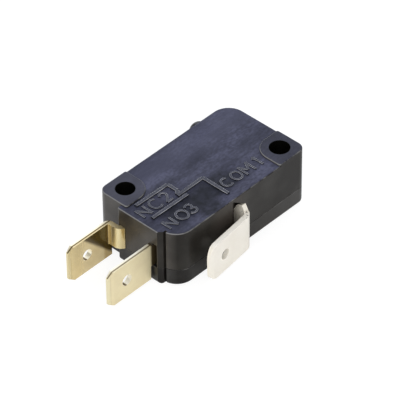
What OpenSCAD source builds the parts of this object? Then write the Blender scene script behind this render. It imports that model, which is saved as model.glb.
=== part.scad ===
// Miniature snap-action switch with a pin plunger and three push-on tabs.
// The origin is on the axis of the mounting hole beside the plunger, at the cover's outer face.
// +X runs away from the tabs, +Y towards the plunger and +Z up through the marked face.

/* [Mounting holes] */
// Distance between the mounting holes along the length
hole_pitch_x = 22.2; // [21.6:0.1:24]
// Distance between the mounting holes across the width
hole_pitch_y = 10.3; // [10:0.1:11.5]
// Distance from a hole's axis to the two sides beside it
hole_edge = 2.8; // [2.7:0.1:3.2]
// Diameter of the hole beside the plunger
lower_hole_d = 3.2; // [2.8:0.1:3.3]
// Diameter of the hole beside the tabs
upper_hole_d = 3.0; // [2.8:0.1:3.2]
// Wall left round the hole beside the plunger
hole_wall = 1.6; // [1.2:0.1:1.8]

/* [Housing] */
// Height of the marked face above the cover's outer face
face_z = 10; // [9.8:0.1:11]
// Rise of the pads round the mounting holes
pad_rise = 0.3; // [0.2:0.05:0.5]
// Radius of the pads' inner corners, round the holes
pad_r = 3; // [2.6:0.1:3.3]
// Depth of the cover tray
cover_h = 3; // [2.7:0.1:3.2]
// Thickness of the side walls
wall = 1.3; // [1.1:0.1:1.5]
// Thickness of the end wall behind the tabs
end_wall = 1.4; // [1.2:0.1:1.6]
// Thickness of the marked wall
face_wall = 1.3; // [1:0.1:1.4]
// Thickness of the cover's floor
cover_floor = 1.2; // [1:0.1:1.5]
// Radius of the two plain corners
corner_r = 3; // [2:0.1:3.2]
// Radius of the two corners beside the holes
hole_corner_r = 1.4; // [1:0.1:1.8]
// Rounding of the case's upper edges
case_edge_r = 0.2; // [0.1:0.05:0.3]
// Rounding of the cover's lower edges
cover_edge_r = 0.5; // [0.3:0.05:0.6]
// Rounding of both edges at the seam
seam_edge_r = 0.12; // [0.05:0.01:0.2]
// Height of the cover's locating ribs above the seam
rib_h = 0.9; // [0.6:0.1:1.2]
// Thickness of the cover's locating ribs
rib_t = 0.7; // [0.5:0.1:0.9]
// Gap between a locating rib and the case wall
rib_fit = 0.05; // [0.03:0.01:0.1]

/* [Terminal block] */
// How far the block stands out of the short end
block_out = 0.75; // [0.5:0.05:1]
// Block left in front of the normally-open strip
block_front_t = 1.75; // [1.6:0.05:1.9]
// Block left behind the normally-closed strip
block_back_t = 0.8; // [0.6:0.05:1]
// Chamfer of the block's front upright edge
block_chamfer = 0.8; // [0.6:0.05:1]
// Width of the groove between the block and the front corner
groove_w = 0.35; // [0.3:0.05:0.5]
// Depth of that groove
groove_d = 0.4; // [0.3:0.05:0.6]
// Gap round a strip in its slot
slot_fit = 0.02; // [0.01:0.01:0.05]

/* [Tabs] */
// Width of a push-on tab
tab_w = 6.3; // [6.2:0.05:6.4]
// Thickness of the strip
tab_t = 0.8; // [0.7:0.05:0.85]
// Height of the tabs' lower edge above the cover's outer face
tab_z = 0.55; // [0.4:0.05:0.7]
// Length of the two end tabs, from shoulder to tip
tab_len = 8.7; // [8:0.05:10]
// Gap between a tab's shoulder and the block
shoulder_gap = 0.4; // [0.3:0.05:0.6]
// Diameter of the tab holes
tab_hole_d = 1.8; // [1.6:0.05:2]
// Distance of the tab holes from the tip
tab_hole_in = 3.7; // [3.4:0.05:4.1]
// Length of the bevel at the tabs' tips
tip_bevel = 1; // [0.8:0.05:1.2]
// Thickness left at a bevelled tip
tip_t = 0.35; // [0.25:0.05:0.5]
// Height of the corner chamfer at the end tabs' tips
tip_chamfer = 0.65; // [0.5:0.05:0.9]
// Near face of the normally-open strip, above the lower hole
no_y = 1.45; // [1.4:0.05:1.6]
// Near face of the normally-closed strip, above the lower hole
nc_y = 6.9; // [6.8:0.05:7]
// Near face of the normally-closed tab, above the lower hole
nc_tab_y = 9.5; // [9.3:0.05:9.8]
// Outer radius of the normally-closed strip's roll
nc_roll_r = 1.4; // [1.2:0.05:1.5]
// How far inside the block the normally-closed strip's roll begins
nc_sink = 0.45; // [0.2:0.05:0.55]
// Inner radius of the fold from the roll to the tab
nc_fold_r = 0.25; // [0.2:0.05:0.4]
// Far face of the common strip, along X from the lower hole
com_x = -10.5; // [-11:0.05:-10]
// Outer radius of the common strip's bend
com_bend_r = 1.65; // [1.4:0.05:1.9]
// Angle of the common tab away from the front side
com_angle = 6.65; // [4:0.05:10]
// Length of the common tab beyond its bend
com_len = 9.15; // [8.6:0.05:10]
// Corner radius of the common tab's tip
com_tip_r = 1.9; // [1.2:0.05:2.2]
// Gap between the common tab's bend and the front side
com_stand = 0.1; // [0.05:0.01:0.2]
// Rise of the common strip's shoulder above the tab's upper edge
com_rise = 0.85; // [0.6:0.05:1]
// Radius of the common strip's shoulder, inside its mouth
com_shoulder_r = 1.4; // [1.2:0.05:1.6]

/* [Plunger] */
// Place of the plunger's axis, along X from the lower hole
plunger_x = -1.9; // [-2.2:0.05:-1.6]
// Height of the plunger's axis
plunger_z = 6.25; // [6:0.05:6.4]
// Diameter of the pin
plunger_d = 3.3; // [3:0.05:3.4]
// How far the pin stands out when free
plunger_free = 3; // [2.6:0.05:3.4]
// Diameter of the flange that keeps the pin in
flange_d = 4.4; // [4:0.05:4.6]
// Thickness of the flange
flange_t = 1; // [0.8:0.05:1.2]
// Diameter of the nose that presses the lever
nose_d = 2.2; // [1.8:0.05:2.4]
// Length of the guide bore
guide_l = 2.2; // [2:0.05:2.4]
// Radial gap between pin and guide bore
guide_fit = 0.05; // [0.02:0.01:0.1]

/* [Contacts and snap mechanism] */
// Distance of the contacts from the short end
contact_in = 3.8; // [3.6:0.05:4]
// Diameter of the contact heads
contact_d = 2.6; // [2.2:0.05:2.8]
// Height of the fixed contact heads
contact_h = 0.9; // [0.8:0.05:1]
// Diameter of the contact rivets' shanks
shank_d = 1.3; // [1.1:0.05:1.5]
// Travel of the moving contact
contact_gap = 0.8; // [0.6:0.05:0.9]
// Width of the strips inside the case
strip_w = 5.2; // [5:0.05:5.4]
// Length of strip beyond the contact axis
strip_tail = 2.2; // [2:0.05:2.4]
// Thickness of the contact arm
arm_t = 0.35; // [0.3:0.05:0.4]
// Thickness of the actuating lever
lever_t = 0.4; // [0.3:0.05:0.5]
// Width of the legs that straddle the spring
leg_w = 0.7; // [0.6:0.05:0.8]
// Width of the window that the spring passes through
window_w = 2.6; // [2.5:0.05:2.7]
// Radius of the rocking beads on the legs
bead_r = 0.3; // [0.25:0.01:0.32]
// Radial gap between a bead and its groove
bead_fit = 0.03; // [0.02:0.01:0.05]
// Slope of the lever when free, in degrees
lever_tilt = 26.5; // [26:0.5:28]
// Drop of the lever's pivot below the arm's pivot
lever_drop = 1.475; // [1.4:0.025:1.55]
// Distance of the spring's hole from the arm's pivot
arm_hook = 6.4; // [6:0.1:6.6]
// Distance of the spring's hole from the lever's pivot, along X
lever_hook = 3.6; // [3.4:0.1:3.8]
// Lever left beyond the plunger's axis
lever_tail = 1.3; // [1:0.1:1.6]
// Outer diameter of the tension spring
spring_d = 1.9; // [1.7:0.05:2]
// Diameter of the spring wire
wire_d = 0.3; // [0.24:0.01:0.34]
// Turns of the tension spring
spring_turns = 18; // [14:1:20]
// Gap left where moving pieces touch
touch_gap = 0.02; // [0.01:0.01:0.04]

/* [Hidden] */
$fn = 72;

// Overshoot that lets a cut pass clean through a face
cut = 1;

// Outline of the housing, seen from above
x_left = -hole_pitch_x - hole_edge;
x_right = hole_edge;
y_front = -hole_edge;
y_far = hole_pitch_y + hole_edge;
upper_hole = [-hole_pitch_x, hole_pitch_y];
body_corners = [corner_r, hole_corner_r, corner_r, hole_corner_r];
pad_end_r = 0.4;
pad_z = face_z + pad_rise;

// Terminal block at the short end
block_x = x_left - block_out;
block_depth = 3;
block_front = no_y - block_front_t;
block_back = nc_y + tab_t + block_back_t;
block_back_r = 0.3;
block_corners = [pad_end_r, pad_end_r, pad_end_r, block_back_r];

// Strips: the neck fills the slot, the inner strip is wider and can't pull out
neck_top = tab_z + tab_w;
neck_h = neck_top - cover_h;
strip_top = cover_h + strip_w;
mech_z = cover_h + strip_w / 2;
contact_x = x_left + contact_in;
strip_end = contact_x + strip_tail;
nc_tongue_l = 0.9;

// Common strip: its upper edge climbs to a round shoulder at the front side, then drops to the neck
com_bend_y = y_front - com_stand;
com_climb = 0.6;
com_lap = 0.3;
com_shoulder_top = neck_top + com_rise;
com_neck_top = com_shoulder_top - com_shoulder_r;

// Cavity that holds the mechanism: its roof clears the strips and the plunger's flange
roof_gap = 0.1;
flange_top = plunger_z + flange_d / 2;
cavity_top = max(face_z - face_wall, max(strip_top, flange_top) + roof_gap);
cavity_left = x_left + end_wall;
cavity_right = x_right - wall;
cavity_front = y_front + wall;
cavity_far = y_far - wall;
shelf_y = nc_y + tab_t;
shelf_lip = 0.2;
shelf_end = strip_end + shelf_lip;
column_x = -lower_hole_d / 2 - hole_wall;
column_y = lower_hole_d / 2 + hole_wall;
grip_side = 2.2;
grip_l = com_x - tab_t - grip_side;
grip_r = com_x + grip_side;
grip_depth = 2.1;
grip_y = cavity_front + grip_depth;
guide_y = y_far - guide_l;
guide_wall = 0.6;
guide_side = flange_d / 2 + guide_wall;

// Locating ribs: fused to the cover's wall up to a little below the seam
rib_inset = 0.6;
rib_root = 0.1;
rib_fused_top = cover_h - 2 * rib_root;

// Mouths beside the strips where they leave the housing
nc_inner_r = nc_roll_r - tab_t;
nc_relief_fit = 0.1;
nc_relief = nc_inner_r - sqrt(max(0, nc_inner_r * nc_inner_r - nc_sink * nc_sink)) + nc_relief_fit;
no_mouth_depth = 1.5;
no_mouth_w = 0.85;
no_mouth_rise = 0.4;
com_mouth_fit = 0.15;
com_mouth_depth = com_shoulder_r + com_mouth_fit;
com_mouth_w = 1.85;
com_mouth_roof = 0.45;
com_mouth_top = face_z - com_mouth_roof;

// Contact faces and the arm's pivot, midway between them
nc_face = nc_y - contact_h;
no_face = no_y + tab_t + contact_h;
arm_pivot = [com_x - tab_t, (nc_face + no_face) / 2];
arm_len = arm_pivot[0] - contact_x;
moving_h = nc_face - no_face - contact_gap - 2 * touch_gap;
arm_tilt = asin(contact_gap / 2 / arm_len);
leg_half = window_w / 2 + leg_w;
moving_dome_r = 6;
hook_hole_d = 3 * wire_d;
web = 0.8;

// Lever pivot, spring hole and the point under the plunger
lever_pivot = [com_x, arm_pivot[1] - lever_drop];
lever_run = plunger_x - com_x;
lever_len = (lever_run + lever_tail) / cos(lever_tilt);
lever_hole = lever_hook / cos(lever_tilt);
prong_rise = 1.3;
prong_sink = 0.8;
prong_top = arm_pivot[1] + prong_rise;
prong_slot_y = lever_pivot[1] - prong_sink;

// Plunger: the nose rests on the lever, the flange on the inside of the far wall
nose_r = nose_d / 2;
nose_y = lever_pivot[1] + lever_run * tan(lever_tilt)
         + (nose_r + lever_t / 2) / cos(lever_tilt) + touch_gap;
flange_y = guide_y - touch_gap;
plunger_tip = y_far + plunger_free;

// Spring ends, at rest
spring_a = arm_pivot + arm_hook * [-cos(arm_tilt), sin(arm_tilt)];
spring_b = lever_pivot + lever_hook * [1, tan(lever_tilt)];
spring_span = norm(spring_b - spring_a);
spring_heading = atan2(spring_b[1] - spring_a[1], spring_b[0] - spring_a[0]);

// Half section of a moulded edge: a rectangle whose outer corners are rounded
module edge_profile(reach, z0, z1, low_r, high_r) {
    difference() {
        translate([0, z0])
            square([reach, z1 - z0]);
        if (low_r > 0)
            difference() {
                translate([reach - low_r, z0 - cut])
                    square([low_r + cut, low_r + cut]);
                translate([reach - low_r, z0 + low_r])
                    circle(r = low_r);
            }
        if (high_r > 0)
            difference() {
                translate([reach - high_r, z1 - high_r])
                    square([high_r + cut, high_r + cut]);
                translate([reach - high_r, z1 - high_r])
                    circle(r = high_r);
            }
    }
}

// Straight run of a moulded edge, facing +X and running along +Y
module edge_run(length, reach, z0, z1, low_r, high_r) {
    translate([0, length, 0])
        rotate([90, 0, 0])
            linear_extrude(length)
                edge_profile(reach, z0, z1, low_r, high_r);
}

// Block with upright corners r (near left, near right, far right, far left) and rounded edges
module moulded_block(x0, y0, x1, y1, z0, z1, r, low_r, high_r) {
    reach = min(max(r), 0.49 * min(x1 - x0, y1 - y0));
    corners = [[x0 + r[0], y0 + r[0], 180], [x1 - r[1], y0 + r[1], 270],
               [x1 - r[2], y1 - r[2], 0], [x0 + r[3], y1 - r[3], 90]];
    for (k = [0:3])
        translate([corners[k][0], corners[k][1], 0])
            rotate(corners[k][2])
                rotate_extrude(angle = 90)
                    edge_profile(r[k], z0, z1, low_r, high_r);
    translate([x1 - reach, y0 + r[1], 0])
        edge_run(y1 - y0 - r[1] - r[2], reach, z0, z1, low_r, high_r);
    translate([x1 - r[2], y1 - reach, 0])
        rotate(90)
            edge_run(x1 - x0 - r[2] - r[3], reach, z0, z1, low_r, high_r);
    translate([x0 + reach, y1 - r[3], 0])
        rotate(180)
            edge_run(y1 - y0 - r[3] - r[0], reach, z0, z1, low_r, high_r);
    translate([x0 + r[0], y0 + reach, 0])
        rotate(270)
            edge_run(x1 - x0 - r[0] - r[1], reach, z0, z1, low_r, high_r);
    translate([x0 + reach, y0 + reach, z0])
        cube([x1 - x0 - 2 * reach, y1 - y0 - 2 * reach, z1 - z0]);
}

// Body and terminal block together, from z0 to z1
module housing_slab(z0, z1, low_r, high_r) {
    moulded_block(x_left, y_front, x_right, y_far, z0, z1, body_corners, low_r, high_r);
    moulded_block(block_x, block_front, x_left + block_depth, block_back, z0, z1,
                  block_corners, low_r, high_r);
}

// Plan of the cavity, stepped round the hole columns, the strip seats, the grip and the guide
module cavity_plan() {
    inner_r = corner_r - wall;
    intersection() {
        polygon([[cavity_left, no_y], [shelf_end, no_y], [shelf_end, cavity_front],
                 [grip_l, cavity_front], [grip_l, grip_y], [grip_r, grip_y], [grip_r, cavity_front],
                 [column_x, cavity_front], [column_x, column_y], [cavity_right, column_y],
                 [cavity_right, cavity_far],
                 [plunger_x + guide_side, cavity_far], [plunger_x + guide_side, guide_y],
                 [plunger_x - guide_side, guide_y], [plunger_x - guide_side, cavity_far],
                 [shelf_end, cavity_far], [shelf_end, shelf_y], [cavity_left, shelf_y]]);
        union() {
            translate([x_left, y_front])
                square([cavity_right - inner_r - x_left, y_far - y_front]);
            translate([x_left, y_front])
                square([x_right - x_left, cavity_far - inner_r - y_front]);
            translate([cavity_right - inner_r, cavity_far - inner_r])
                circle(r = inner_r);
        }
    }
}

module mounting_holes() {
    translate([0, 0, -cut])
        cylinder(d = lower_hole_d, h = pad_z + 2 * cut);
    translate([upper_hole[0], upper_hole[1], -cut])
        cylinder(d = upper_hole_d, h = pad_z + 2 * cut);
}

// Groove between the terminal block and the front corner, with the block's chamfer beside it
module block_groove() {
    translate([block_x - cut, block_front - groove_w / 2, -cut])
        cube([block_out + groove_d + cut, groove_w, face_z + 2 * cut]);
    translate([block_x, block_front, -cut])
        linear_extrude(face_z + 2 * cut)
            polygon([[-cut, 0], [block_chamfer, 0], [-cut, block_chamfer + cut]]);
}

// Slots for the three strips, with the mouths beside them
module strip_slots() {
    slot_h = neck_h + slot_fit + cut;
    slot_w = tab_t + 2 * slot_fit;
    mouth_x = com_x - tab_t - com_mouth_w;
    com_r = com_x + slot_fit;
    for (y = [no_y, nc_y])
        translate([block_x - cut, y - slot_fit, cover_h - cut])
            cube([cavity_left - block_x + 2 * cut, slot_w, slot_h]);
    translate([block_x - cut, no_y - no_mouth_w, cover_h - cut])
        cube([no_mouth_depth + cut, no_mouth_w + slot_fit, slot_h + no_mouth_rise]);
    translate([block_x - cut, nc_y, cover_h - cut])
        cube([nc_sink + cut, tab_t + nc_relief, slot_h]);
    translate([com_r - slot_w, y_front - cut, cover_h - cut])
        cube([slot_w, grip_y - y_front + 2 * cut, com_neck_top - cover_h + slot_fit + cut]);
    translate([0, y_front + com_mouth_depth, 0])
        rotate([90, 0, 0])
            linear_extrude(com_mouth_depth + cut)
                polygon([[mouth_x, cover_h - cut], [com_r, cover_h - cut],
                         [com_r, com_shoulder_top + slot_fit], [mouth_x, com_mouth_top]]);
}

module case() {
    color("#2c2c31")
        difference() {
            union() {
                housing_slab(cover_h, face_z, seam_edge_r, case_edge_r);
                moulded_block(-pad_r, y_front, x_right, pad_r, face_z - cut, pad_z,
                              [pad_end_r, hole_corner_r, pad_end_r, pad_r], 0, case_edge_r);
                moulded_block(x_left, upper_hole[1] - pad_r, upper_hole[0] + pad_r, y_far,
                              face_z - cut, pad_z,
                              [pad_end_r, pad_r, pad_end_r, hole_corner_r], 0, case_edge_r);
            }
            translate([0, 0, cover_h - cut])
                linear_extrude(cavity_top - cover_h + cut)
                    cavity_plan();
            mounting_holes();
            block_groove();
            strip_slots();
            translate([plunger_x, guide_y - cut, plunger_z])
                rotate([-90, 0, 0])
                    cylinder(d = plunger_d + 2 * guide_fit, h = guide_l + 2 * cut);
        }
}

// Locating rib that runs along +X, on a cavity wall at y = 0 with the cavity on its +Y side.
// It is fused to the cover below the seam and clear of the case above it.
module locating_rib(length) {
    translate([0, -rib_root, cover_floor - rib_root])
        cube([length, rib_t + rib_root, rib_fused_top - cover_floor + rib_root]);
    translate([0, rib_fit, rib_fused_top - rib_root])
        cube([length, rib_t - rib_fit, cover_h + rib_h - rib_fused_top + rib_root]);
}

module cover() {
    rib_x = shelf_end + rib_inset;
    color("#2a2a2e")
        difference() {
            union() {
                difference() {
                    housing_slab(0, cover_h, cover_edge_r, seam_edge_r);
                    translate([0, 0, cover_floor])
                        linear_extrude(cover_h - cover_floor + cut)
                            cavity_plan();
                }
                translate([rib_x, cavity_front, 0])
                    locating_rib(grip_l - rib_inset - rib_x);
                translate([grip_r + rib_inset, cavity_front, 0])
                    locating_rib(column_x - grip_r - 2 * rib_inset);
                translate([plunger_x - guide_side - rib_inset, cavity_far, 0])
                    rotate(180)
                        locating_rib(plunger_x - guide_side - rib_inset - rib_x);
            }
            mounting_holes();
            block_groove();
        }
}

module plunger() {
    pin_r = plunger_d / 2;
    color("#26262a")
        translate([plunger_x, 0, plunger_z])
            rotate([-90, 0, 0])
                rotate_extrude()
                    intersection() {
                        union() {
                            translate([0, nose_y])
                                circle(r = nose_r);
                            translate([0, nose_y])
                                square([nose_r, flange_y - nose_y]);
                            translate([0, flange_y - flange_t])
                                square([flange_d / 2, flange_t]);
                            translate([0, flange_y - flange_t])
                                square([pin_r, plunger_tip - pin_r - flange_y + flange_t]);
                            translate([0, plunger_tip - pin_r])
                                circle(r = pin_r);
                        }
                        translate([0, nose_y - nose_r])
                            square([flange_d, plunger_tip - nose_y + nose_r]);
                    }
}

// Plan of a tab that points to -X, with both faces bevelled at the tip
module bevelled_plan(length) {
    slope = (tab_t - tip_t) / 2;
    polygon([[0, 0], [tip_bevel - length, 0], [-length, slope],
             [-length, tab_t - slope], [tip_bevel - length, tab_t], [0, tab_t]]);
}

// Push-on tab that points to -X from its shoulder, near face at y = 0 and lower edge at z = 0
module end_tab(length) {
    intersection() {
        translate([0, tab_t, 0])
            rotate([90, 0, 0])
                linear_extrude(tab_t)
                    difference() {
                        polygon([[0, 0], [tip_bevel - length, 0], [-length, tip_chamfer],
                                 [-length, tab_w - tip_chamfer], [tip_bevel - length, tab_w],
                                 [0, tab_w]]);
                        translate([tab_hole_in - length, tab_w / 2])
                            circle(d = tab_hole_d);
                    }
        linear_extrude(tab_w)
            bevelled_plan(length);
    }
}

// Straight length of neck between two points along X, near face at y
module neck_run(x0, x1, y) {
    translate([x0, y, cover_h])
        cube([x1 - x0, tab_t, neck_h]);
}

// Wide strip inside the case, with the hole for its contact rivet
module contact_strip(y) {
    difference() {
        translate([cavity_left + slot_fit, y, cover_h])
            cube([strip_end - cavity_left - slot_fit, tab_t, strip_w]);
        translate([contact_x, y - cut, mech_z])
            rotate([-90, 0, 0])
                cylinder(d = shank_d, h = tab_t + 2 * cut);
    }
}

module no_terminal() {
    shoulder_x = block_x - shoulder_gap;
    color("#d9bd7c")
        union() {
            translate([shoulder_x, no_y, tab_z])
                end_tab(tab_len);
            neck_run(shoulder_x, cavity_left + 2 * slot_fit, no_y);
            contact_strip(no_y);
        }
}

module nc_terminal() {
    roll_x = block_x + nc_sink - slot_fit;
    back_x = roll_x - nc_roll_r;
    fold_x = back_x - nc_fold_r;
    tip_x = block_x - shoulder_gap - tab_len;
    color("#d9bd7c")
        union() {
            translate([fold_x, nc_tab_y, tab_z])
                end_tab(fold_x - tip_x);
            translate([fold_x, nc_tab_y, tab_z])
                cube([nc_tongue_l, tab_t, cover_h - tab_z]);
            translate([fold_x, nc_tab_y - nc_fold_r, cover_h])
                rotate_extrude(angle = 90)
                    translate([nc_fold_r, 0])
                        square([tab_t, neck_h]);
            translate([back_x, nc_y + nc_roll_r, cover_h])
                cube([tab_t, nc_tab_y - nc_fold_r - nc_y - nc_roll_r, neck_h]);
            translate([roll_x, nc_y + nc_roll_r, cover_h])
                rotate(180)
                    rotate_extrude(angle = 90)
                        translate([nc_roll_r - tab_t, 0])
                            square([tab_t, neck_h]);
            neck_run(roll_x, cavity_left + 2 * slot_fit, nc_y);
            contact_strip(nc_y);
        }
}

// Plan of the common tab, bevelled at the tip and lapped into the bend at the root
module com_tab_plan() {
    bevelled_plan(com_len);
    intersection() {
        translate([-com_lap, 0])
            square([2 * com_lap, tab_t]);
        translate([0, com_bend_r])
            circle(r = com_bend_r);
    }
}

// Round-cornered common tab that points to -X from its bend
module com_tab() {
    tip_x = -com_len;
    intersection() {
        translate([0, tab_t, 0])
            rotate([90, 0, 0])
                linear_extrude(tab_t)
                    difference() {
                        union() {
                            translate([tip_x + com_tip_r, 0])
                                square([com_len - com_tip_r + com_lap, tab_w]);
                            translate([tip_x, com_tip_r])
                                square([com_len, tab_w - 2 * com_tip_r]);
                            for (z = [com_tip_r, tab_w - com_tip_r])
                                translate([tip_x + com_tip_r, z])
                                    circle(r = com_tip_r);
                        }
                        translate([tip_x + tab_hole_in, tab_w / 2])
                            circle(d = tab_hole_d);
                    }
        linear_extrude(tab_w)
            com_tab_plan();
    }
}

// Side view of the common strip from its bend to the end of its neck, with Y as the first axis
module com_side() {
    out_y = com_bend_y - com_bend_r - cut;
    end_y = grip_y + 2 * slot_fit;
    polygon([[out_y, tab_z], [com_bend_y, tab_z], [com_bend_y, cover_h], [end_y, cover_h],
             [end_y, com_neck_top], [y_front, com_neck_top], [y_front, com_shoulder_top],
             [y_front - com_climb, neck_top], [out_y, neck_top]]);
    translate([y_front, com_neck_top])
        intersection() {
            circle(r = com_shoulder_r);
            square(com_shoulder_r);
        }
}

// Bend and neck of the common strip
module com_neck() {
    blank_h = com_shoulder_top - tab_z;
    intersection() {
        union() {
            translate([com_x - com_bend_r, com_bend_y, tab_z])
                rotate_extrude(angle = com_angle - 90)
                    translate([com_bend_r - tab_t, 0])
                        square([tab_t, blank_h]);
            translate([com_x - tab_t, com_bend_y, tab_z])
                cube([tab_t, grip_y + 2 * slot_fit - com_bend_y, blank_h]);
        }
        translate([com_x - com_bend_r - cut, 0, 0])
            rotate([90, 0, 90])
                linear_extrude(com_bend_r + 2 * cut)
                    com_side();
    }
}

module com_terminal() {
    groove_r = bead_r + bead_fit;
    color("#dcdad2")
        difference() {
            union() {
                translate([com_x - com_bend_r, com_bend_y, tab_z])
                    rotate(com_angle)
                        translate([0, -com_bend_r, 0])
                            com_tab();
                com_neck();
                translate([com_x - tab_t, grip_y + slot_fit, cover_h])
                    cube([tab_t, prong_top - grip_y - slot_fit, strip_w]);
            }
            translate([com_x - tab_t - cut, prong_slot_y, mech_z - window_w / 2])
                cube([tab_t + 2 * cut, prong_top - prong_slot_y + cut, window_w]);
            for (pivot = [arm_pivot, lever_pivot])
                translate([pivot[0], pivot[1], cover_h - cut])
                    cylinder(r = groove_r, h = strip_w + 2 * cut);
        }
}

// Contact rivet along +Y: head below y = 0 and shank through the strip above it
module fixed_contact() {
    rotate([-90, 0, 0])
        union() {
            translate([0, 0, -contact_h])
                cylinder(d = contact_d, h = contact_h);
            cylinder(d = shank_d - 2 * slot_fit, h = tab_t);
        }
}

module nc_contact() {
    color("#c9c9c4")
        translate([contact_x, nc_y, mech_z])
            fixed_contact();
}

module no_contact() {
    color("#c9c9c4")
        translate([contact_x, no_y + tab_t, mech_z])
            rotate([180, 0, 0])
                fixed_contact();
}

// Places what is drawn along the arm, with the pivot at the origin, in the arm's rest position
module on_arm() {
    translate([arm_pivot[0], arm_pivot[1], mech_z])
        rotate(-arm_tilt)
            children();
}

// Double-headed rivet whose faces are slightly domed
module moving_contact() {
    head_r = contact_d / 2;
    half_h = moving_h / 2;
    color("#cfcfca")
        on_arm()
            translate([-arm_len, 0, 0])
                rotate([-90, 0, 0])
                    rotate_extrude()
                        difference() {
                            intersection() {
                                translate([0, half_h - moving_dome_r])
                                    circle(r = moving_dome_r);
                                translate([0, moving_dome_r - half_h])
                                    circle(r = moving_dome_r);
                                translate([0, -half_h])
                                    square([head_r, moving_h]);
                            }
                            translate([shank_d / 2 - slot_fit, -arm_t / 2 - slot_fit])
                                square([head_r, arm_t + 2 * slot_fit]);
                        }
}

// Two legs and their rocking beads, from the pivot out to x = reach
module legs(reach, thickness) {
    for (side = [-leg_half, window_w / 2]) {
        translate([min(reach, 0), -thickness / 2, side])
            cube([abs(reach), thickness, leg_w]);
        translate([0, 0, side])
            cylinder(r = bead_r, h = leg_w);
    }
}

module contact_arm() {
    web_x = web - arm_hook;
    color("#c08a55")
        on_arm()
            difference() {
                union() {
                    legs(web_x, arm_t);
                    translate([-arm_len, -arm_t / 2, -leg_half])
                        cube([arm_len + web_x, arm_t, 2 * leg_half]);
                    translate([-arm_len, arm_t / 2, 0])
                        rotate([90, 0, 0])
                            cylinder(r = leg_half, h = arm_t);
                }
                translate([-arm_len, -cut, 0])
                    rotate([-90, 0, 0])
                        cylinder(d = shank_d, h = 2 * cut);
                translate([-arm_hook, -cut, 0])
                    rotate([-90, 0, 0])
                        cylinder(d = hook_hole_d, h = 2 * cut);
            }
}

module actuating_lever() {
    web_x = lever_hole - web;
    color("#b9b4a6")
        translate([lever_pivot[0], lever_pivot[1], mech_z])
            rotate(lever_tilt)
                difference() {
                    union() {
                        legs(web_x, lever_t);
                        translate([web_x, -lever_t / 2, -leg_half])
                            cube([lever_len - web_x, lever_t, 2 * leg_half]);
                    }
                    translate([lever_hole, -cut, 0])
                        rotate([-90, 0, 0])
                            cylinder(d = hook_hole_d, h = 2 * cut);
                }
}

// The spring's wire as a row of rings [centre, across, up], from the arm's hole to the lever's
turn_steps = 10;
wire_sides = 6;
coil_r = (spring_d - wire_d) / 2;
coil_gap = 0.7;
coil_start = web + coil_gap;
coil_end = spring_span - web - coil_gap;
hook_lead = 0.3;
hook_over = 0.45;
hook_through = 0.6;
across = [0, 0, 1];
function coil_ring(turn) =
    let (a = 90 + 360 * turn, x = coil_start + (coil_end - coil_start) * turn / spring_turns)
    [[x, coil_r * cos(a), coil_r * sin(a)], [0, cos(a), sin(a)], [1, 0, 0]];
spring_rings = concat(
    [[[0, -hook_through, 0], across, [-1, 0, 0]],
     [[0, hook_over, 0], across, [-0.7, 0.7, 0]],
     [[coil_start - hook_lead, hook_over, coil_r], across, [0, 1, 0]]],
    [for (i = [0:spring_turns * turn_steps]) coil_ring(i / turn_steps)],
    [[[coil_end + hook_lead, -hook_lead, coil_r], across, [0, 1, 0]],
     [[spring_span - web, hook_over, coil_r / 3], across, [0, 1, 0]],
     [[spring_span, hook_over, 0], across, [0.7, 0.7, 0]],
     [[spring_span, -hook_through, 0], across, [1, 0, 0]]]);

module tension_spring() {
    n = wire_sides;
    last = len(spring_rings) - 1;
    points = [for (ring = spring_rings, k = [0:n - 1])
              ring[0] + wire_d / 2 * (cos(360 * k / n) * ring[1] + sin(360 * k / n) * ring[2])];
    sides = [for (i = [0:last - 1], k = [0:n - 1])
             [i * n + k, (i + 1) * n + k, (i + 1) * n + (k + 1) % n, i * n + (k + 1) % n]];
    first_cap = [for (k = [0:n - 1]) k];
    last_cap = [for (k = [n - 1:-1:0]) last * n + k];
    color("#b5b5b0")
        translate([spring_a[0], spring_a[1], mech_z])
            rotate(spring_heading)
                polyhedron(points, concat(sides, [first_cap], [last_cap]));
}

case();
cover();
plunger();
com_terminal();
nc_terminal();
no_terminal();
nc_contact();
no_contact();
moving_contact();
contact_arm();
actuating_lever();
tension_spring();
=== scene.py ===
import bpy
import math
from mathutils import Matrix, Vector


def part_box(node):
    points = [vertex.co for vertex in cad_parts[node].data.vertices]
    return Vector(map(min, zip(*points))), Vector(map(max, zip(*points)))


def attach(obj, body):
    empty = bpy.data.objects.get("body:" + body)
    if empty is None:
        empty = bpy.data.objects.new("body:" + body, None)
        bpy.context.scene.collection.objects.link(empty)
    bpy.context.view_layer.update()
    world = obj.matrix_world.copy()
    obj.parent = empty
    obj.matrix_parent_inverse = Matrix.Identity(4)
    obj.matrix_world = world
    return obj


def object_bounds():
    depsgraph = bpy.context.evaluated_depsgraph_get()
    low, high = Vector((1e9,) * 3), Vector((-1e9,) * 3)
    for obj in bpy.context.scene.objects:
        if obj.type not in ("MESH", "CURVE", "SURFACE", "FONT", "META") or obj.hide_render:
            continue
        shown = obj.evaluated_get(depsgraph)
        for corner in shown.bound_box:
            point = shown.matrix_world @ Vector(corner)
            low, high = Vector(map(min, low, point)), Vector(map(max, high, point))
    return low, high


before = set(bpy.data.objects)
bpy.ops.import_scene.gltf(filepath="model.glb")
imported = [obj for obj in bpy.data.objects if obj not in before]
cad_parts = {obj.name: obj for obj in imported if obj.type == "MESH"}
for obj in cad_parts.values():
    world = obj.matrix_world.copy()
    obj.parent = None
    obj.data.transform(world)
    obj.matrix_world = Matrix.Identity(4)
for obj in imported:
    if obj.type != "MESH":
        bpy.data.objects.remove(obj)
cad_low, cad_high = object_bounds()
bpy.context.scene.view_settings.view_transform = "Standard"


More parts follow.
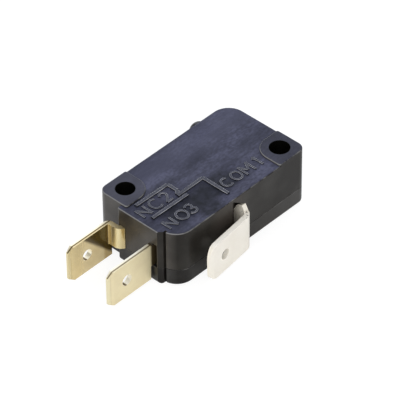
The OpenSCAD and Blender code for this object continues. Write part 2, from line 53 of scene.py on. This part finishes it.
# Case
# One moulding of black glass-filled plastic: the box with the marked face and both hole pads.
# Its mould is spark-eroded, so the surface is satin with a fine grain and faint flow streaks.
# Its ribs hold the three strips, and its top edges carry a painted highlight.
MM = 0.001
FACE_HEIGHT = 10.0
PAD_RISE = 0.3
SEAM_HEIGHT = 3.0
GRAIN_HEIGHT = 0.006
PLAIN_GLOSS = 0.15
MOUNTING_HOLES = (((0, 0, 0), 1.6), ((-22.2, 10.3, 0), 1.5))
# The face colours hold a painted sheen and the end colours painted light, both paler than the sides.
CASE_SIDES = ((0.011, 0.0095, 0.0075), (0.020, 0.018, 0.015))
CASE_FACE_WITH_SHEEN = ((0.020, 0.021, 0.034), (0.079, 0.082, 0.130))
CASE_END_LIT = ((0.026, 0.022, 0.018), (0.046, 0.040, 0.034))


def new_material(name, color, roughness, metallic=0.0):
    """A Principled material, with its tree, its shader and the piece's own coordinates."""
    material = bpy.data.materials.new(name)
    material.use_nodes = True
    tree = material.node_tree
    shader = tree.nodes["Principled BSDF"]
    shader.inputs["Base Color"].default_value = (*color, 1)
    shader.inputs["Roughness"].default_value = roughness
    shader.inputs["Metallic"].default_value = metallic
    place = tree.nodes.new("ShaderNodeTexCoord").outputs["Object"]
    return material, tree, shader, place


def stretched_noise(tree, place, scale, stretch=(1, 1, 1), detail=4.0):
    """Noise with about scale features per millimetre, stretched along an axis by a small factor."""
    mapping = tree.nodes.new("ShaderNodeMapping")
    mapping.inputs["Scale"].default_value = Vector(stretch) / MM
    noise = tree.nodes.new("ShaderNodeTexNoise")
    noise.inputs["Scale"].default_value = scale
    noise.inputs["Detail"].default_value = detail
    tree.links.new(place, mapping.inputs["Vector"])
    tree.links.new(mapping.outputs["Vector"], noise.inputs["Vector"])
    return noise.outputs["Fac"]


def ramp(tree, value, low, high, from_low=0.3, from_high=0.7):
    """Maps a value, such as a noise, on to a span of numbers."""
    span = tree.nodes.new("ShaderNodeMapRange")
    span.inputs["From Min"].default_value = from_low
    span.inputs["From Max"].default_value = from_high
    span.inputs["To Min"].default_value = low
    span.inputs["To Max"].default_value = high
    tree.links.new(value, span.inputs["Value"])
    return span.outputs["Result"]


def mixed(tree, factor, first, second):
    """Mixes two colours, each of them linked or written out, by a value."""
    mix = tree.nodes.new("ShaderNodeMix")
    mix.data_type = "RGBA"
    tree.links.new(factor, mix.inputs["Factor"])
    for socket, color in ((mix.inputs["A"], first), (mix.inputs["B"], second)):
        if isinstance(color, tuple):
            socket.default_value = (*color, 1)
        else:
            tree.links.new(color, socket)
    return mix.outputs["Result"]


def bump(tree, value, height, shader):
    """Raises the surface by a height in metres where the value is one."""
    node = tree.nodes.new("ShaderNodeBump")
    node.inputs["Strength"].default_value = 1.0
    node.inputs["Distance"].default_value = height
    tree.links.new(value, node.inputs["Height"])
    tree.links.new(node.outputs["Normal"], shader.inputs["Normal"])


def joined(tree, operation, first, second):
    """One value made of two, by a Math node."""
    node = tree.nodes.new("ShaderNodeMath")
    node.operation = operation
    tree.links.new(first, node.inputs[0])
    tree.links.new(second, node.inputs[1])
    return node.outputs["Value"]


def both(tree, first, *others):
    """The product of values, which is one only where all of them are."""
    for other in others:
        first = joined(tree, "MULTIPLY", first, other)
    return first


def either(tree, first, second):
    """The greater of two values."""
    return joined(tree, "MAXIMUM", first, second)


def weak(tree, value, strength):
    """A value from nought to one, brought down to a strength."""
    return ramp(tree, value, 0, strength, 0, 1)


def axis(tree, vector, name):
    """One axis of a vector."""
    node = tree.nodes.new("ShaderNodeSeparateXYZ")
    tree.links.new(vector, node.inputs["Vector"])
    return node.outputs[name]


def facing(tree, name, low, high):
    """One where the normal's share along an axis is past high, nought where it is short of low."""
    normal = tree.nodes.new("ShaderNodeNewGeometry").outputs["Normal"]
    return ramp(tree, axis(tree, normal, name), 0, 1, low, high)


def past(tree, value, start, end):
    """Goes from nought at a start to one at an end, two places on an axis in millimetres."""
    return ramp(tree, value, 0, 1, start * MM, end * MM)


def between(tree, value, low, high, soft):
    """One between two places in millimetres, fading to nought over a soft edge."""
    return both(tree, past(tree, value, low - soft, low), past(tree, value, high + soft, high))


def bored(tree, place, center, across, radius):
    """One on the wall of a hole, whose centre and radius are in millimetres, nought outside it."""
    flat = tree.nodes.new("ShaderNodeMapping")
    flat.inputs["Location"].default_value = -Vector(center) * MM
    flat.inputs["Scale"].default_value = across
    reach = tree.nodes.new("ShaderNodeVectorMath")
    reach.operation = "LENGTH"
    tree.links.new(place, flat.inputs["Vector"])
    tree.links.new(flat.outputs["Vector"], reach.inputs[0])
    return past(tree, reach.outputs["Value"], radius + 0.06, radius + 0.02)


def eroded(tree, place, shader):
    """Gives a surface the fine grain of an eroded mould."""
    bump(tree, stretched_noise(tree, place, 9.0, detail=2.0), GRAIN_HEIGHT * MM, shader)


def moulded_plastic(name, side_colors, face_sheen_colors, end_lit_colors, rough_low, rough_high):
    """Black plastic: sides from a polished mould, upper faces and tab end from an eroded one; the upper
    faces are painted paler and bluer as painted sheen, and the tab end paler as painted light.
    """
    material, tree, shader, place = new_material(name, side_colors[0], rough_low)
    streaks = ramp(tree, stretched_noise(tree, place, 0.55, (0.22, 1, 1)), 0, 1, 0.38, 0.62)
    clouds = ramp(tree, stretched_noise(tree, place, 0.16), 0, 1, 0.38, 0.62)
    grain = stretched_noise(tree, place, 2.6, (0.6, 1, 1), detail=3.0)
    cast = both(tree, ramp(tree, clouds, 0.45, 1, 0, 1), ramp(tree, streaks, 0.3, 1, 0, 1),
                ramp(tree, grain, 0.5, 1.4))
    up = facing(tree, "Z", 0.6, 0.95)
    end = facing(tree, "X", -0.7, -0.95)
    # Painted light: the tab end is painted paler than the sides, and the upper faces paler and bluer as
    # painted sheen.
    color = mixed(tree, end, mixed(tree, clouds, *side_colors), mixed(tree, clouds, *end_lit_colors))
    color = mixed(tree, up, color, mixed(tree, cast, *face_sheen_colors))
    tree.links.new(color, shader.inputs["Base Color"])
    gloss = both(tree, ramp(tree, up, 1, 0.45, 0, 1), ramp(tree, end, 1, 2.2, 0, 1),
                 ramp(tree, clouds, 0.17, 0.23, 0, 1))
    # The plain level is for a copy of the material that can't take a linked one.
    shader.inputs["Specular IOR Level"].default_value = PLAIN_GLOSS
    tree.links.new(gloss, shader.inputs["Specular IOR Level"])
    rough = ramp(tree, both(tree, up, streaks), rough_low, rough_high, 0, 1)
    tree.links.new(both(tree, rough, ramp(tree, end, 1, 0.75, 0, 1)), shader.inputs["Roughness"])
    eroded(tree, place, shader)
    return material, tree, shader, place, color


def dress(node, material):
    """Gives a CAD node its material."""
    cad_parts[node].data.materials.clear()
    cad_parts[node].data.materials.append(material)


case_plastic, tree, shader, place, color = moulded_plastic(
    "case_plastic", CASE_SIDES, CASE_FACE_WITH_SHEEN, CASE_END_LIT, 0.38, 0.55)
along, across, height = (axis(tree, place, name) for name in "XYZ")
# Painted sheen: the far part of the top face is painted paler and bluer.
far_painted_sheen = weak(tree, between(tree, across, 9.4, 11.6, 2.0), 0.35)
color = mixed(tree, both(tree, far_painted_sheen, facing(tree, "Z", 0.6, 0.95)), color, (0.085, 0.088, 0.14))
pads = weak(tree, past(tree, height, FACE_HEIGHT + 0.1, FACE_HEIGHT + 0.25), 0.6)
pad_color = mixed(tree, past(tree, along, -20, -4), (0.054, 0.054, 0.066), (0.032, 0.033, 0.044))
color = mixed(tree, pads, color, pad_color)
# Two patches of the face are painted darker, between the marks and by the near edge.
dark_band = both(tree, between(tree, along, -22.0, -9.6, 1.8), between(tree, across, -0.1, 2.6, 1.2))
patch = both(tree, between(tree, along, -17.8, -15.2, 1.4), between(tree, across, -2.3, 0.4, 0.8))
level = between(tree, height, FACE_HEIGHT - 0.1, FACE_HEIGHT + 0.1, 0.05)
patch_mottle = ramp(tree, stretched_noise(tree, place, 0.8), 0.45, 1)
color = mixed(tree, both(tree, either(tree, dark_band, patch), level, patch_mottle), color, (0.008, 0.009, 0.013))
# Painted highlight: the top edges are painted pale in places, and all along the tab end.
top_edge_highlight = both(tree, facing(tree, "Z", 0.15, 0.4), facing(tree, "Z", 0.97, 0.85),
              past(tree, height, 9.3, 9.6))
edge_highlight_breaks = ramp(tree, stretched_noise(tree, place, 0.9, detail=3.0), 0, 1, 0.42, 0.62)
color = mixed(tree, both(tree, top_edge_highlight, edge_highlight_breaks), color, (0.13, 0.13, 0.13))
color = mixed(tree, both(tree, top_edge_highlight, facing(tree, "X", -0.2, -0.5)), color, (0.18, 0.18, 0.185))
# Painted light: the front side behind the common tab is painted paler, where little light reaches.
wedge_fill_light = both(tree, facing(tree, "Y", -0.8, -0.95), past(tree, height, 3.6, 5.2),
               between(tree, along, -16.0, -12.0, 2.5))
color = mixed(tree, weak(tree, wedge_fill_light, 0.85), color, (0.040, 0.034, 0.029))
seam = past(tree, height, SEAM_HEIGHT + 0.09, SEAM_HEIGHT + 0.03)
color = mixed(tree, seam, color, (0.003, 0.003, 0.003))
# Painted shade: the walls of the mounting holes are painted near black.
for center, radius in MOUNTING_HOLES:
    color = mixed(tree, bored(tree, place, center, (1, 1, 0), radius), color, (0.002, 0.002, 0.0015))
tree.links.new(color, shader.inputs["Base Color"])
dress("case", case_plastic)

# Face marks
# Raised lines and letters of the case's own moulding, cut into its mould with a flat-ended tool.
# They name the three tabs and sketch the changeover contact; their edges carry a painted highlight and
# their sides painted shade.
FACE_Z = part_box("case")[1].z - PAD_RISE * MM
MARK_WIDTH = 0.58 * MM
MARK_RISE = 0.24 * MM
MARK_ROUND = 0.09 * MM
LETTER_FINENESS = 0.6
LINE_FINENESS = 1
mark_lines = bpy.data.curves.new("mark_lines", "CURVE")
mark_lines.dimensions = "3D"


def stroke(points, fineness):
    """One stroke of a mark through points given in millimetres on the marked face."""
    spline = mark_lines.splines.new("POLY")
    spline.points.add(len(points) - 1)
    for knot, (x, y) in zip(spline.points, points):
        knot.co = (x * MM, y * MM, FACE_Z, 1)
        knot.radius = fineness


def bow(x, y, half_width, half_height, start, end, steps=16):
    """Points along an oval bow between two angles in degrees."""
    angles = [math.radians(start + (end - start) * i / steps) for i in range(steps + 1)]
    return [(x + half_width * math.cos(angle), y + half_height * math.sin(angle)) for angle in angles]


# Each letter is drawn in a box one wide and one high.
LETTERS = {
    "N": [[(0, 0), (0, 1)], [(0, 1), (1, 0)], [(1, 0), (1, 1)]],
    "C": [bow(0.5, 0.5, 0.5, 0.5, 48, 312)],
    "O": [bow(0.5, 0.5, 0.5, 0.5, 0, 360)],
    "M": [[(0, 0), (0, 1)], [(0, 1), (0.5, 0.35)], [(0.5, 0.35), (1, 1)], [(1, 1), (1, 0)]],
    "1": [[(0.1, 0.78), (0.6, 1)], [(0.6, 1), (0.6, 0)]],
    "2": [bow(0.5, 0.7, 0.5, 0.3, 165, -30) + [(0, 0)], [(0, 0), (1, 0)]],
    "3": [bow(0.45, 0.75, 0.45, 0.25, 160, -105), bow(0.45, 0.25, 0.55, 0.25, 100, -160)],
}


def letter(name, left, base, width, height):
    """Draws a letter with its lower left corner at a place on the marked face, in millimetres."""
    for points in LETTERS[name]:
        stroke([(left + x * width, base + y * height) for x, y in points], LETTER_FINENESS)


def line(*points):
    """Draws straight strokes from point to point."""
    for start, end in zip(points, points[1:]):
        stroke([start, end], LINE_FINENESS)


line((-12.6, -1.4), (-12.6, 3.8), (-18.0, 3.75))
line((-23.8, 6.65), (-17.2, 6.55), (-17.2, 4.55), (-17.8, 4.0))
line((-24.1, 3.0), (-16.8, 2.9))
for name, left, width in (("N", -24.65, 1.5), ("C", -22.35, 1.8), ("2", -20.0, 1.15)):
    letter(name, left, 3.85, width, 2.1)
for name, left, width in (("N", -23.85, 1.5), ("O", -21.5, 1.8), ("3", -19.3, 1.2)):
    letter(name, left, -0.6, width, 2.0)
for name, left, width in (("C", -11.7, 1.55), ("O", -9.65, 1.6)):
    letter(name, left, -0.4, width, 1.9)
for name, left, width in (("M", -7.5, 1.7), ("1", -4.7, 0.8)):
    letter(name, left, -0.6, width, 2.2)


def raised_mark_tree():
    """Sweeps a flat rib with rounded edges along every stroke and joins the ribs where they cross."""
    tree = bpy.data.node_groups.new("raised_mark", "GeometryNodeTree")
    tree.interface.new_socket("Strokes", in_out="INPUT", socket_type="NodeSocketGeometry")
    for size in ("Width", "Rise", "Round"):
        tree.interface.new_socket(size, in_out="INPUT", socket_type="NodeSocketFloat")
    tree.interface.new_socket("Plastic", in_out="INPUT", socket_type="NodeSocketMaterial")
    tree.interface.new_socket("Marks", in_out="OUTPUT", socket_type="NodeSocketGeometry")
    given = tree.nodes.new("NodeGroupInput").outputs
    upright = tree.nodes.new("GeometryNodeSetCurveNormal")
    upright.mode = "Z_UP"
    twice = tree.nodes.new("ShaderNodeMath")
    twice.operation = "MULTIPLY"
    twice.inputs[1].default_value = 2
    oblong = tree.nodes.new("GeometryNodeCurvePrimitiveQuadrilateral")
    section = tree.nodes.new("GeometryNodeFilletCurve")
    section.mode = "POLY"
    section.inputs["Count"].default_value = 3
    sweep = tree.nodes.new("GeometryNodeCurveToMesh")
    sweep.inputs["Fill Caps"].default_value = True
    fineness = tree.nodes.new("GeometryNodeInputRadius")
    union = tree.nodes.new("GeometryNodeMeshBoolean")
    union.operation = "UNION"
    union.solver = "EXACT"
    union.inputs["Self Intersection"].default_value = True
    real = tree.nodes.new("GeometryNodeRealizeInstances")
    finish = tree.nodes.new("GeometryNodeSetMaterial")
    result = tree.nodes.new("NodeGroupOutput")
    for source, sink in (
            (given["Strokes"], upright.inputs["Curve"]),
            (upright.outputs["Curve"], sweep.inputs["Curve"]),
            (given["Width"], oblong.inputs["Width"]),
            (given["Rise"], twice.inputs[0]),
            (twice.outputs["Value"], oblong.inputs["Height"]),
            (oblong.outputs["Curve"], section.inputs["Curve"]),
            (given["Round"], section.inputs["Radius"]),
            (section.outputs["Curve"], sweep.inputs["Profile Curve"]),
            (fineness.outputs["Radius"], sweep.inputs["Scale"]),
            (sweep.outputs["Mesh"], union.inputs["Mesh"]),
            (union.outputs["Mesh"], real.inputs["Geometry"]),
            (real.outputs["Geometry"], finish.inputs["Geometry"]),
            (given["Plastic"], finish.inputs["Material"]),
            (finish.outputs["Geometry"], result.inputs["Marks"])):
        tree.links.new(source, sink)
    return tree


def grown(name, source, tree, sizes):
    """Runs a tree on a curve and returns the result as a plain mesh object."""
    maker = bpy.data.objects.new(name + "_strokes", source)
    bpy.context.collection.objects.link(maker)
    modifier = maker.modifiers.new("tree", "NODES")
    modifier.node_group = tree
    for socket in tree.interface.items_tree:
        if socket.in_out == "INPUT" and socket.name in sizes:
            modifier[socket.identifier] = sizes[socket.name]
    depsgraph = bpy.context.evaluated_depsgraph_get()
    mesh = bpy.data.meshes.new_from_object(maker.evaluated_get(depsgraph), depsgraph=depsgraph)
    bpy.data.objects.remove(maker)
    piece = bpy.data.objects.new(name, mesh)
    bpy.context.collection.objects.link(piece)
    return piece


mark_plastic, tree, shader, place = new_material("mark_plastic", (0.02, 0.02, 0.028), 0.42)
shader.inputs["Specular IOR Level"].default_value = 0.4
# Painted light: the sides of the ribs are painted darker than their crowns as painted shade, and their
# rounded edges pale in places as a painted highlight.
mark_highlight_breaks = ramp(tree, stretched_noise(tree, place, 0.7, detail=3.0), 0.15, 1)
edges = both(tree, facing(tree, "Z", 0.3, 0.5), facing(tree, "Z", 0.99, 0.95))
color = mixed(tree, facing(tree, "Z", 0.6, 0.8), (0.006, 0.006, 0.008), (0.022, 0.023, 0.036))
color = mixed(tree, both(tree, edges, mark_highlight_breaks), color, (0.38, 0.38, 0.41))
tree.links.new(color, shader.inputs["Base Color"])
eroded(tree, place, shader)
face_marks = grown("face_marks", mark_lines, raised_mark_tree(),
                   {"Width": MARK_WIDTH, "Rise": MARK_RISE, "Round": MARK_ROUND, "Plastic": mark_plastic})
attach(face_marks, "housing")

# Cover
# Shallow tray of the same plastic, bonded to the case along the seam after the inside is assembled.
# It comes from another mould and is a little warmer and duller, and its rim carries a painted highlight.
# The face colours hold a painted sheen, and the end colours painted light.
COVER_SIDES = ((0.015, 0.013, 0.011), (0.028, 0.026, 0.023))
COVER_FACE_WITH_SHEEN = ((0.020, 0.020, 0.024), (0.030, 0.030, 0.036))
COVER_END_LIT = ((0.026, 0.023, 0.021), (0.040, 0.037, 0.035))
cover_plastic, tree, shader, place, color = moulded_plastic(
    "cover_plastic", COVER_SIDES, COVER_FACE_WITH_SHEEN, COVER_END_LIT, 0.42, 0.58)
along, height = (axis(tree, place, name) for name in "XZ")
# Painted shade and light: the cover is painted darker towards the tab end and paler towards the far end.
color = mixed(tree, weak(tree, past(tree, along, -17, -23), 0.8), color, (0.004, 0.0035, 0.003))
color = mixed(tree, weak(tree, past(tree, along, -13, -6), 0.55), color, (0.046, 0.044, 0.042))
# Painted highlight: the rounded rim just under the seam is painted pale in places.
rim_highlight_breaks = ramp(tree, stretched_noise(tree, place, 0.5, detail=3.0), 0.1, 1, 0.4, 0.6)
rim_highlight = both(tree, between(tree, height, SEAM_HEIGHT - 0.14, SEAM_HEIGHT - 0.05, 0.04), rim_highlight_breaks)
tree.links.new(mixed(tree, rim_highlight, color, (0.085, 0.083, 0.080)), shader.inputs["Base Color"])
dress("cover", cover_plastic)

# End tabs
# Two push-on tabs stamped from half-hard brass strip, one straight and one joggled.
# The rolled faces are bright, with fine drawn lines along the strip, and the top edges and tips carry
# painted highlights.
TAB_TIP = -34.85
TIP_BAND = 0.41
NC_NEAR_FACE = 9.5
NO_NEAR_FACE = 1.45
LATCH_HOLE = (-31.15, 0, 3.7)
LATCH_RADIUS = 0.9


def rolled_strip(name, dark, light, rough_low, rough_high, metallic=1.0):
    """Bright rolled metal with faint lines along its length and a cloudy tarnish."""
    material, tree, shader, place = new_material(name, light, rough_low, metallic)
    clouds = stretched_noise(tree, place, 0.35)
    lines = stretched_noise(tree, place, 5.0, (0.06, 1, 1), detail=2.0)
    color = mixed(tree, ramp(tree, clouds, 0, 1), dark, light)
    rough = ramp(tree, lines, rough_low, rough_high)
    tree.links.new(color, shader.inputs["Base Color"])
    tree.links.new(rough, shader.inputs["Roughness"])
    bump(tree, lines, 0.0012 * MM, shader)
    return material, tree, shader, place, color, rough


def sheared(strip, near_face, pale_highlight, tip_highlight, shade_dark):
    """Gives a strip a painted highlight along the far half of its top edge with a line of painted shade
    in the middle, a pale tip band as a painted highlight, and a pale hole wall as painted light with a
    notch of painted shade.
    """
    material, tree, shader, place, color, rough = strip
    along, across, height = (axis(tree, place, name) for name in "XYZ")
    top = facing(tree, "Z", 0.6, 0.8)
    # Painted highlight: a pale band at the tip stands for a blunt tip face.
    tip = past(tree, along, TAB_TIP + TIP_BAND, TAB_TIP + TIP_BAND - 0.04)
    # Painted highlight along the far half of the top edge, and painted shade along its middle.
    far_edge_highlight = both(tree, top, past(tree, across, near_face + 0.42, near_face + 0.55))
    mid_edge_shade = both(tree, top, between(tree, across, near_face + 0.26, near_face + 0.38, 0.08))
    color = mixed(tree, tip, color, tip_highlight)
    color = mixed(tree, far_edge_highlight, color, pale_highlight)
    color = mixed(tree, mid_edge_shade, color, shade_dark)
    # Painted light on the hole wall, with a notch of painted shade low in it.
    lit_hole_wall = bored(tree, place, LATCH_HOLE, (1, 0, 1), LATCH_RADIUS)
    color = mixed(tree, lit_hole_wall, color, pale_highlight)
    hole_notch_shade = both(tree, lit_hole_wall, past(tree, height, 3.1, 2.95), between(tree, along, -31.6, -31.25, 0.12))
    color = mixed(tree, hole_notch_shade, color, shade_dark)
    # Painted shade: a faint dark line just behind the tip band.
    tip_edge_shade = between(tree, along, TAB_TIP + TIP_BAND, TAB_TIP + TIP_BAND + 0.14, 0.05)
    color = mixed(tree, weak(tree, tip_edge_shade, 0.12), color, shade_dark)
    rough = either(tree, rough, weak(tree, either(tree, top, tip), 0.5))
    tree.links.new(color, shader.inputs["Base Color"])
    tree.links.new(rough, shader.inputs["Roughness"])
    return material, tree, shader, place, color, rough


# The joggled tab is bright; its fold is painted paler as painted light, and its near face beside the fold
# is duller and holds a dark brown painted reflection of the case.
bright_brass = rolled_strip("bright_brass", (0.68, 0.55, 0.29), (0.78, 0.65, 0.37), 0.14, 0.2)
bright_brass, tree, shader, place, color, rough = sheared(
    bright_brass, NC_NEAR_FACE, (0.93, 0.86, 0.66), (0.77, 0.67, 0.41), (0.12, 0.08, 0.03))
along, across, height = (axis(tree, place, name) for name in "XYZ")
# The fold's outer face is rougher, and painted paler as painted light.
fold = both(tree, facing(tree, "X", -0.6, -0.9), past(tree, along, -28.0, -27.6))
tree.links.new(either(tree, rough, weak(tree, fold, 0.36)), shader.inputs["Roughness"])
# Painted reflection: the corner where the fold meets the near face is painted darker brown.
corner = both(tree, between(tree, across, NC_NEAR_FACE - 0.5, NC_NEAR_FACE + 0.02, 0.35),
              past(tree, along, -27.9, -27.4), facing(tree, "Z", 0.8, 0.6))
color = mixed(tree, fold, color, (0.87, 0.76, 0.45))
color = mixed(tree, corner, color, (0.50, 0.36, 0.13))
# Painted reflection of the case's end: a slanted part of the near face beside the fold is painted dark
# brown.
near_side = both(tree, facing(tree, "Y", -0.7, -0.95),
                 past(tree, across, NC_NEAR_FACE - 0.3, NC_NEAR_FACE - 0.1))
slant = tree.nodes.new("ShaderNodeMath")
slant.operation = "MULTIPLY_ADD"
slant.inputs[1].default_value = 1.02
tree.links.new(along, slant.inputs[0])
tree.links.new(height, slant.inputs[2])
case_reflection = both(tree, near_side, past(tree, slant.outputs["Value"], -25.9, -25.3))
tree.links.new(mixed(tree, case_reflection, color, (0.085, 0.056, 0.010)), shader.inputs["Base Color"])
dulled = either(tree, both(tree, near_side, past(tree, along, -32.8, -31.6)), corner)
tree.links.new(ramp(tree, dulled, 1, 0.15, 0, 1), shader.inputs["Metallic"])
dress("nc_terminal", bright_brass)

# The straight tab is satin; where its neck enters the case it is painted dark as painted shade.
satin_brass = rolled_strip(
    "satin_brass", (0.76, 0.66, 0.42), (0.83, 0.74, 0.48), 0.36, 0.46, metallic=0.6)
satin_brass, tree, shader, place, color, _ = sheared(
    satin_brass, NO_NEAR_FACE, (0.93, 0.88, 0.72), (0.80, 0.73, 0.49), (0.20, 0.15, 0.08))
neck_shade = past(tree, axis(tree, place, "X"), -26.2, -25.9)
tree.links.new(mixed(tree, neck_shade, color, (0.09, 0.065, 0.03)), shader.inputs["Base Color"])
dress("no_terminal", satin_brass)

# Common tab
# The same strip, tin plated after stamping, so it is pale, a little milky and pitted at the shoulder.
# It passes through a mouth in the front side and bends over towards the end tabs.
COMMON_HOLE = (-17.45, 0, 3.7)
COMMON_RADIUS = 0.98
tin, tree, shader, place, color, _ = rolled_strip(
    "tin_plate", (0.85, 0.81, 0.72), (0.89, 0.855, 0.775), 0.42, 0.52, metallic=0.25)
along, height = (axis(tree, place, name) for name in "XZ")
# Painted light: the edges are painted paler and warmer than the faces.
edge = facing(tree, "Y", -0.9, -0.6)
color = mixed(tree, edge, color, (0.97, 0.92, 0.81))
pits = ramp(tree, stretched_noise(tree, place, 2.2, detail=3.0), 0, 0.65, 0.58, 0.64)
shoulder = both(tree, past(tree, along, -12.4, -12.1), past(tree, height, 6.0, 6.6))
color = mixed(tree, both(tree, edge, pits, shoulder), color, (0.10, 0.09, 0.07))
# Painted light: the hole's wall is painted near white.
lit_hole_wall = bored(tree, place, COMMON_HOLE, (1, 0, 1), COMMON_RADIUS)
tree.links.new(mixed(tree, lit_hole_wall, color, (0.99, 0.95, 0.86)), shader.inputs["Base Color"])
dress("com_terminal", tin)

# Contacts
# Silver alloy rivets: one headed on each end strip and one with two heads on the arm.
# Each is upset in its hole, and the faces that meet are left as turned.
silver = rolled_strip("contact_silver", (0.68, 0.67, 0.64), (0.82, 0.81, 0.78), 0.25, 0.4)[0]
for rivet in ("nc_contact", "no_contact", "moving_contact"):
    dress(rivet, silver)

# Snap mechanism
# The contact arm is spring bronze, the lever plain steel and the spring drawn steel wire.
# Both stampings rock in grooves of the common strip, and the spring pulls them together.
bronze = rolled_strip("arm_bronze", (0.5, 0.29, 0.15), (0.66, 0.42, 0.24), 0.25, 0.4)[0]
steel = rolled_strip("lever_steel", (0.5, 0.48, 0.44), (0.64, 0.62, 0.58), 0.3, 0.45)[0]
wire = rolled_strip("spring_wire", (0.42, 0.42, 0.41), (0.56, 0.56, 0.54), 0.25, 0.35)[0]
dress("contact_arm", bronze)
dress("actuating_lever", steel)
dress("tension_spring", wire)

# Plunger
# Round pin moulded in a slippery black plastic, smoother than the case, with a domed tip.
# It slides in a bore of the far wall, and a flange inside keeps it from falling out.
# The upper colours hold a painted sheen.
PIN_SIDES = ((0.009, 0.009, 0.010), (0.014, 0.014, 0.016))
PIN_UPPER_WITH_SHEEN = ((0.016, 0.016, 0.020), (0.022, 0.022, 0.028))
pin_plastic = moulded_plastic("plunger_plastic", PIN_SIDES, PIN_UPPER_WITH_SHEEN, PIN_SIDES, 0.28, 0.36)[0]
dress("plunger", pin_plastic)

# Setting
# A plain pale floor under soft studio light, seen through a long lens from above the two end tabs.
# The floor glows to the camera, and less in reflections, so it is white and its shadow is faint.
FLOOR_HALF = 1.5
FLOOR_Z = cad_low.z - 0.02 * MM
FLOOR_GLOW = 0.85
FLOOR_SHADE = 0.22
MIRRORED_GLOW = 0.6
SKY_STRENGTH = 0.5
WARM_WHITE = (1.0, 0.98, 0.95)
COOL_WHITE = (0.72, 0.80, 1.0)
PLAIN_WHITE = (1.0, 1.0, 1.0)
floor_mesh = bpy.data.meshes.new("floor")
floor_mesh.from_pydata(
    [(x * FLOOR_HALF, y * FLOOR_HALF, FLOOR_Z) for x, y in ((-1, -1), (1, -1), (1, 1), (-1, 1))],
    [], [(0, 1, 2, 3)])
floor = bpy.data.objects.new("floor", floor_mesh)
bpy.context.collection.objects.link(floor)
paper, tree, paper_shader, _ = new_material("paper", (0.9, 0.9, 0.9), 0.9)
glow = tree.nodes.new("ShaderNodeEmission")
glow.inputs["Strength"].default_value = FLOOR_GLOW
shade = tree.nodes.new("ShaderNodeBsdfDiffuse")
shade.inputs["Color"].default_value = (FLOOR_SHADE, FLOOR_SHADE, FLOOR_SHADE, 1)
white = tree.nodes.new("ShaderNodeAddShader")
tree.links.new(glow.outputs["Emission"], white.inputs[0])
tree.links.new(shade.outputs["BSDF"], white.inputs[1])
light_path = tree.nodes.new("ShaderNodeLightPath").outputs
straight = either(tree, light_path["Is Camera Ray"], light_path["Is Transmission Ray"])
mirrored = weak(tree, light_path["Is Glossy Ray"], MIRRORED_GLOW)
backdrop = tree.nodes.new("ShaderNodeMixShader")
tree.links.new(either(tree, straight, mirrored), backdrop.inputs["Fac"])
tree.links.new(paper_shader.outputs["BSDF"], backdrop.inputs[1])
tree.links.new(white.outputs["Shader"], backdrop.inputs[2])
tree.links.new(backdrop.outputs["Shader"], tree.nodes["Material Output"].inputs["Surface"])
floor_mesh.materials.append(paper)

world = bpy.data.worlds.new("studio")
world.use_nodes = True
sky = world.node_tree.nodes["Background"]
sky.inputs["Color"].default_value = (1, 1, 1, 1)
sky.inputs["Strength"].default_value = SKY_STRENGTH
bpy.context.scene.world = world

target = Vector((-12.367, 4.604, 5.15)) * MM


def direction(azimuth, elevation):
    """The unit vector at two angles in degrees."""
    a, e = math.radians(azimuth), math.radians(elevation)
    return Vector((math.cos(a) * math.cos(e), math.sin(a) * math.cos(e), math.sin(e)))


def aimed(location, roll=0.0):
    """A matrix at a place that looks at the object."""
    look = (target - location).to_track_quat("-Z", "Y").to_matrix().to_4x4()
    return Matrix.Translation(location) @ look @ Matrix.Rotation(roll, 4, "Z")


def softbox(name, azimuth, elevation, distance, width, height, power, color):
    """An oblong area lamp that faces the object."""
    lamp = bpy.data.lights.new(name, "AREA")
    lamp.shape = "RECTANGLE"
    lamp.size = width
    lamp.size_y = height
    lamp.energy = power
    lamp.color = color
    obj = bpy.data.objects.new(name, lamp)
    obj.matrix_world = aimed(target + direction(azimuth, elevation) * distance)
    bpy.context.collection.objects.link(obj)


softbox("back_softbox", 45, 45, 0.5, 0.7, 0.7, 1.6, COOL_WHITE)
softbox("back_strip", 45, 11, 0.5, 0.5, 0.12, 0.7, PLAIN_WHITE)
softbox("left_fill", -150, 35, 0.6, 0.6, 0.6, 1.9, WARM_WHITE)
softbox("front_fill", -100, 32, 0.6, 0.6, 0.6, 0.75, WARM_WHITE)

# The camera's place comes from fitting the hole centres and body edges to the photograph.
CAMERA_AZIMUTH = -136.413
CAMERA_ELEVATION = 41.082
CAMERA_ROLL = -0.571
CAMERA_DISTANCE = 483.887 * MM
camera_data = bpy.data.cameras.new("camera")
camera_data.sensor_width = 36
camera_data.lens = 294.717
camera_data.clip_start = 0.01
camera = bpy.data.objects.new("camera", camera_data)
camera_place = target + direction(CAMERA_AZIMUTH, CAMERA_ELEVATION) * CAMERA_DISTANCE
camera.matrix_world = aimed(camera_place, math.radians(CAMERA_ROLL))
bpy.context.collection.objects.link(camera)
bpy.context.scene.camera = camera
